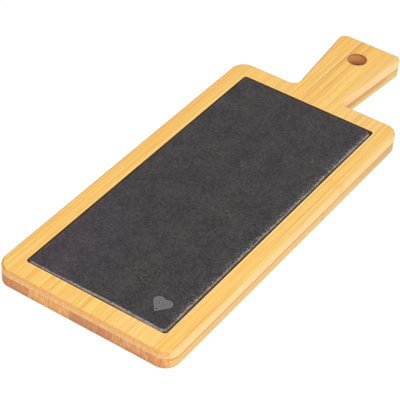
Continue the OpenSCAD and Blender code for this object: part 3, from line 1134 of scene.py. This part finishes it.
ends_further = (half_y - np.abs(Y)) - (half_x - np.abs(X))
on_near_edge = (Y < 0) * smooth_step(ends_further, SIDE_BLEND, -SIDE_BLEND)
ragged = CALMEST + (1 - CALMEST) * smooth_step(ends_further, -SIDE_BLEND, SIDE_BLEND)
wide = (0.5 + 0.2 * smooth_step(X, *WIDEST_FROM_X)) * smooth_step(X, *WIDE_FROM_X) * on_near_edge
neat = NEAT_LEFT * smooth_step(X, *NEAT_FROM_X) * on_near_edge
chip_width = CHIP_WIDTH * (1 + ragged * summed(X, Y, UNEVEN) - 0.2 * struck + wide - neat)
chip_width = np.maximum(chip_width, NARROWEST_CHIP)
chip_drop = CHIP_DROP * (1 + summed(X, Y, UNEVEN_DROP))
chip_share = np.clip(1 - to_edge / chip_width, 0, 1)
scallops = summed(X, Y, SCALLOPS) * chip_share * (1 - chip_share) * 4
dressed = chip_drop * chip_share ** CHIP_CURVE + scallops
fresh_side = smooth_step(X / half_x - Y / half_y, -0.12, 0.12)
fresh = WEATHERED + (1 - WEATHERED) * fresh_side
patchy = 1 - 0.45 * ragged * smooth_step(summed(X, Y, PATCHES), -0.3, 0.4)
chipped = smooth_step(chip_share, 0.0, 0.22) * (1.1 - 0.25 * ragged) * patchy * fresh
chipped = chipped * (1 + 0.45 * struck)
print("width of the chips, mm:", round(chip_width.min(), 2), "to", round(chip_width.max(), 2))

# %% [markdown]
# Now the heights of the top are put together: the riven face, less the chips, less the heart. The
# engraving tool also levels what it passes over, so inside the heart the relief is halved.

# %% Heights of the tile's top
RELIEF_FLOOR = 0.02
LEVELLED = 0.5

inside = heart_inside(X - heart_tip[0], Y - heart_tip[1])
engraved = smooth_step(inside, *HEART_WALL)
Z = tile_high[2] - RELIEF_FLOOR - (relief.max() - relief) * (1 - LEVELLED * engraved)
Z = Z - np.maximum(dressed, 0) - HEART_DEPTH * engraved
print("heights of the top, mm:", round(Z.min(), 2), "to", round(Z.max(), 2))

# %% [markdown]
# No dressed edge is straight, so the edges wander by a few tenths of a millimetre, and the points
# beside them go along. The right edge was dressed back a little further, except near its far end,
# and the right part of the near edge a little less.

# %% Wandering edges
WANDER = 0.24
WANDER_X = ((0.16, 15, 11), (0.08, 3.1, 12))
WANDER_Y = ((0.16, 15, 13), (0.08, 3.1, 14))
EXTRA_GAP = 0.25
FAR_STRETCH = (45, 15)
CLOSER = 0.5
CLOSER_FROM_X = (5, 45)
PULL_ZONE = 9.0
EDGE_BLEND = 10.0

pull = 1 - smooth_step(to_edge, 0.0, PULL_ZONE)
far_end = smooth_step(Y, half_y - FAR_STRETCH[0], half_y - FAR_STRETCH[1])
set_back = EXTRA_GAP * (X > 0) * (1 - 1.5 * far_end)
closer = CLOSER * (Y < 0) * smooth_step(X, *CLOSER_FROM_X)
wander_x = WANDER + summed(Y, 0 * Y, WANDER_X) + set_back
wander_y = WANDER + summed(X, 0 * X, WANDER_Y) - closer
near_side = smooth_step(np.abs(X), half_x - EDGE_BLEND, half_x)
near_end = smooth_step(np.abs(Y), half_y - EDGE_BLEND, half_y)
X = X - np.sign(X) * wander_x * pull * near_side
Y = Y - np.sign(Y) * wander_y * pull * near_end
print("wander of the edges, mm:", round(wander_y.min(), 2), "to", round(wander_x.max(), 2))

# %% [markdown]
# The tile's walls run down from the rim of the grid in a few rings. They are broken stone as well,
# so each ring wanders a little inwards. The underside is flat enough to lie still on its pads, and
# one face closes it.

# %% Walls and underside of the tile
WALL_RINGS = 6
WALL_ROUGH = 0.12
UNDER_BREAK = 0.5

n_rows, n_columns = X.shape
number = np.arange(n_rows * n_columns).reshape(n_rows, n_columns)
quads = np.stack([number[:-1, :-1], number[:-1, 1:], number[1:, 1:], number[1:, :-1]], axis=2)
rim = np.concatenate([number[0, :-1], number[:-1, -1], number[-1, :0:-1], number[:0:-1, 0]])
top_points = np.stack([X, Y, Z], axis=2).reshape(-1, 3)
rim_points = top_points[rim]
share = np.linspace(0, 1, WALL_RINGS + 1)[1:, None]
ahead = np.roll(rim_points, -1, axis=0) - np.roll(rim_points, 1, axis=0)
outwards = np.stack([ahead[:, 1], -ahead[:, 0]], axis=1)
outwards /= np.linalg.norm(outwards, axis=1, keepdims=True)
run = np.cumsum(np.linalg.norm(np.roll(rim_points, -1, axis=0) - rim_points, axis=1))[None]
inward = WALL_ROUGH + WALL_ROUGH * soft_noise(run + 0 * share, share * 40, 2.4, 15)
inward = inward + UNDER_BREAK * smooth_step(share, 0.8, 1.0)
wall = rim_points[None, :, :2] - inward[:, :, None] * outwards[None]
wall_z = rim_points[None, :, 2] * (1 - share) + tile_low[2] * share
wall_points = np.concatenate([wall, wall_z[:, :, None]], axis=2).reshape(-1, 3)
ring = n_rows * n_columns + np.arange(WALL_RINGS * len(rim)).reshape(WALL_RINGS, -1)
ring = np.concatenate([rim[None], ring])
onward = np.roll(ring, -1, axis=1)
wall_quads = np.stack([ring[:-1], ring[1:], onward[1:], onward[:-1]], axis=2)

tile_mesh = bpy.data.meshes.new("slate_tile_stone")
all_points = np.concatenate([top_points, wall_points]) + [*tile_middle, 0]
faces = quads.reshape(-1, 4).tolist() + wall_quads.reshape(-1, 4).tolist()
tile_mesh.from_pydata(all_points * MM, [], faces + [ring[-1][::-1].tolist()])
CHIPPED = "chipped"
HEART_IN = "heart_in"
for name, values, rest in ((CHIPPED, chipped, 0.0), (HEART_IN, inside, -HEART_REACH)):
    write_down(tile_mesh, name, np.concatenate([values.ravel(), np.full(len(wall_points), rest)]))
smooth = np.ones(len(tile_mesh.polygons), bool)
smooth[-1] = False
tile_mesh.polygons.foreach_set("use_smooth", smooth)
set_in_place("slate_tile", tile_mesh, "slate", "_stone")
print("faces of the tile:", len(tile_mesh.polygons), "top at", round(all_points[:, 2].max(), 3))

# %% [markdown]
# The stone's colour is a dark grey that leans to brown, with a fine speckle, a slow mottle and a
# few light grains and flecks. Its near left part has a trace of lilac. Along the right side small
# splinters have flown off the face and left pale marks.
#
# Where a chip is broken off, fresh pale stone shows, warmest at the very arris. Just under the
# arris the flank gets a brown layer, painted warm light bounced from the wood across the gap. On
# the near side it is darker, a painted shade, most at the left.
#
# The heart is bruised stone, also paler, with thin darker lines at even distances from its edge.

# %% Slate finish
SPOT_FROM_TIP = (-0.4, 2.6)
LINE_PITCH = 1.75
# Every row: size of the grains in mm, offset, detail, and the two values that it rises between
SLATE_NOISE = {
    "mottle": ((14, 22, 14), 3.0, 4.0, 0.35, 0.65),
    "patch": ((1.9, 2.3, 1.9), 17.0, 3.0, 0.40, 0.60),
    "speckle": ((0.9, 1.0, 0.9), 29.0, 3.0, 0.40, 0.60),
    "light": ((1.0, 1.2, 1.0), 43.0, 1.0, 0.70, 0.77),
    "warmth": ((5.0, 6.0, 5.0), 53.0, 3.0, 0.40, 0.60),
    "flecks": ((1.1, 1.6, 1.1), 71.0, 2.0, 0.56, 0.66),
    "places": ((30, 22, 30), 9.0, 2.0, 0.52, 0.64),
    "splinters": ((1.1, 1.3, 1.1), 87.0, 2.0, 0.57, 0.62),
    "broken": ((1.5, 1.5, 0.8), 61.0, 4.0, 0.36, 0.60),
}


def lay_face(f):
    """Tone = 0.2 mottle + 0.4 patch + 0.4 speckle, with grains, flecks, lilac and splinters."""
    tone = f.calc("ADD", f.times(f.grain["mottle"], 0.2), f.times(f.grain["patch"], 0.4),
                  f.times(f.grain["speckle"], 0.4))
    tint = f.mixed(f.grain["warmth"], shade(76, 74, 76), shade(78, 74, 73))
    f.colour = f.mixed(tone, shade(38, 36, 37), tint)
    f.lay(f.times(f.grain["light"], 0.5), shade(130, 126, 124))
    f.lay(f.times(f.grain["flecks"], f.grain["places"], 0.34), shade(124, 118, 116))
    lilac = f.times(f.slope(f.x, -45, 10, 0.1, 0.0), f.slope(f.y, -150, -60, 1.0, 0.0))
    f.lay(lilac, shade(112, 84, 110))
    to_right = f.calc("SUBTRACT", float(tile_high[0]), f.x)
    splintered = f.times(f.grain["splinters"], f.slope(to_right, 1, 7, 0.9, 0.0),
                         f.slope(f.y, -180, -150, 0.2, 1.0))
    f.lay(splintered, shade(152, 148, 152))


def lay_chips(f, chip):
    """Fresh stone where chip is high; painted warm bounce light on the flank under it, darker on the
    near side as painted shade.
    """
    fresh = f.mixed(f.grain["broken"], shade(104, 98, 101), shade(184, 173, 172))
    fresh = f.mixed(f.slope(chip, 0.95, 1.25), fresh, shade(214, 204, 198))
    warm_rim = f.times(f.slope(chip, 0.75, 1.0, 0.0, 0.6), f.slope(f.x, -40, 0, 0.55, 1.0))
    fresh = f.mixed(warm_rim, fresh, shade(168, 137, 104))
    f.lay(f.calc("MINIMUM", f.times(chip, 0.9), 0.9), fresh)
    # Painted warm light, bounced from the wood across the gap, on the flank just under the arris.
    warm_bounce = f.times(f.slope(f.z, TOP_Z - 1.0, TOP_Z - 0.65, 0.9, 0.0),
                    f.slope(f.z, TOP_Z - 3.6, TOP_Z - 2.4),
                    f.slope(f.grain["warmth"], 0.0, 1.0, 0.75, 1.0))
    # On the near side that colour is darker: painted shade, most at the left.
    near_edge = float(tile_low[1])
    near_side = f.times(f.slope(f.y, near_edge + 1, near_edge + 3, 1.0, 0.0),
                        f.slope(f.x, 0, 40, 1.0, 0.3))
    f.lay(warm_bounce, f.mixed(near_side, shade(156, 117, 60), shade(88, 62, 30)))


def lay_heart(f):
    """Paler stone inside the outline, lines where cos(2 pi * distance / LINE_PITCH) is high, a spot."""
    inner = f.carried(HEART_IN)
    wave = f.calc("COSINE", f.times(inner, 2 * math.pi / LINE_PITCH))
    line = f.times(f.slope(wave, 0.0, 0.8), f.slope(inner, 0.6, 1.2), 0.9)
    colour = f.mixed(f.grain["speckle"], shade(116, 112, 115), shade(128, 124, 126))
    colour = f.mixed(line, colour, shade(90, 87, 90))
    spot_place = (*(tile_middle + heart_tip + SPOT_FROM_TIP), tile_high[2] - HEART_DEPTH)
    to_spot = f.put("ShaderNodeVectorMath", {0: f.place, 1: spot_place}, operation="DISTANCE")
    spot = f.slope(to_spot.outputs["Value"], 0.5, 1.1, 0.95, 0.0)
    f.lay(f.slope(inner, -0.1, 0.25), f.mixed(spot, colour, shade(58, 55, 60)))


def slate_finish(name):
    """Dark riven stone with pale chips and a pale engraved heart."""
    f = Finish(name)
    f.grain = f.grains(SLATE_NOISE)
    chip = f.carried(CHIPPED)
    lay_face(f)
    lay_chips(f, chip)
    lay_heart(f)
    height = f.calc("ADD", f.grain["speckle"], f.times(f.grain["patch"], 1.6),
                    f.times(f.grain["broken"], chip, 3.0))
    rough = f.slope(f.grain["speckle"], 0.0, 1.0, 0.62, 0.8)
    return f.skin(rough, height, strength=0.5, depth=0.09, gloss=0.2)


tile_mesh.materials.append(slate_finish("riven_slate"))

# %% [markdown]
# The four pads are small discs of black rubber, punched from sheet, with slightly rounded rims and
# a shallow dish on the face that meets the wood. They could be cylinders with a bevel, but a
# profile gives the dish as well: it runs from the middle out to the rim and back, and is turned
# round each pad's own middle. All four are one mesh, as they are one node in the frame.

# %% Pads
PAD_STEPS = 48
PAD_R = 5.0
PAD_RIM = 0.22
RIM_STEPS = 5
PAD_POLE = 0.02
DISH_DEPTH = 0.08
DISH_R = 3.4
FOOT_R = 4.0
FACE_R = 3.6

pad_low, pad_high = (np.array(corner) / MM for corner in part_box("slate_pads"))
pad_thick = pad_high[2] - pad_low[2]
pad_x = pad_high[0] - PAD_R
pad_y = (pad_low[1] + PAD_R, pad_high[1] - PAD_R)
a = np.linspace(-np.pi / 2, 0, RIM_STEPS)
lower = np.stack([PAD_R - PAD_RIM + PAD_RIM * np.cos(a), PAD_RIM + PAD_RIM * np.sin(a)], axis=1)
upper = lower[::-1] * [1, -1] + [0, pad_thick]
dish = [[PAD_POLE, DISH_DEPTH], [DISH_R, DISH_DEPTH], [FOOT_R, 0]]
face = [[FACE_R, pad_thick], [PAD_POLE, pad_thick]]
profile = np.concatenate([dish, lower, upper, face])
angle = np.linspace(0, 2 * np.pi, PAD_STEPS, endpoint=False)
radius, height = profile[:, :1], profile[:, 1:]
disc = np.stack([radius * np.cos(angle), radius * np.sin(angle), height + 0 * angle], axis=2)
number = np.arange(disc.shape[0] * PAD_STEPS).reshape(-1, PAD_STEPS)
disc_quads = quads_round(number)
places = np.array([(x, y, pad_low[2]) for x in (-pad_x, pad_x) for y in pad_y])
pad_points = (disc.reshape(1, -1, 3) + places[:, None]).reshape(-1, 3)
first = np.arange(len(places))[:, None, None] * number.size
pad_faces = (disc_quads[None] + first).reshape(-1, 4).tolist()
for start in first.ravel().tolist():
    pad_faces.append((start + number[0, ::-1]).tolist())
    pad_faces.append((start + number[-1]).tolist())
pad_mesh = bpy.data.meshes.new("slate_pads_rubber")
pad_mesh.from_pydata(pad_points * MM, [], pad_faces)
set_in_place("slate_pads", pad_mesh, "slate", "_rubber")
print("pads at x, mm:", round(pad_x, 2), "and y:", [round(y, 2) for y in pad_y])

# %% [markdown]
# Rubber that has lain under stone is never quite black: fine dust sits in its skin. One small noise
# gives the dust's colour, the roughness and the relief.

# %% Rubber finish
DUST_NOISE = {"dust": ((0.6, 0.6, 0.6), 7.0, 3.0, 0.4, 0.65)}

f = Finish("pad_rubber")
dust = f.grains(DUST_NOISE)["dust"]
f.colour = f.mixed(dust, shade(34, 33, 35), shade(58, 56, 56))
rubber = f.skin(f.slope(dust, 0.0, 1.0, 0.7, 0.88), dust, strength=0.4, depth=0.03, gloss=0.3)
pad_mesh.materials.append(rubber)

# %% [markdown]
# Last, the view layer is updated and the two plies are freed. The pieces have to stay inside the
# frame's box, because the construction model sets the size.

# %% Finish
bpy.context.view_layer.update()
base_ply.free()
top_ply.free()
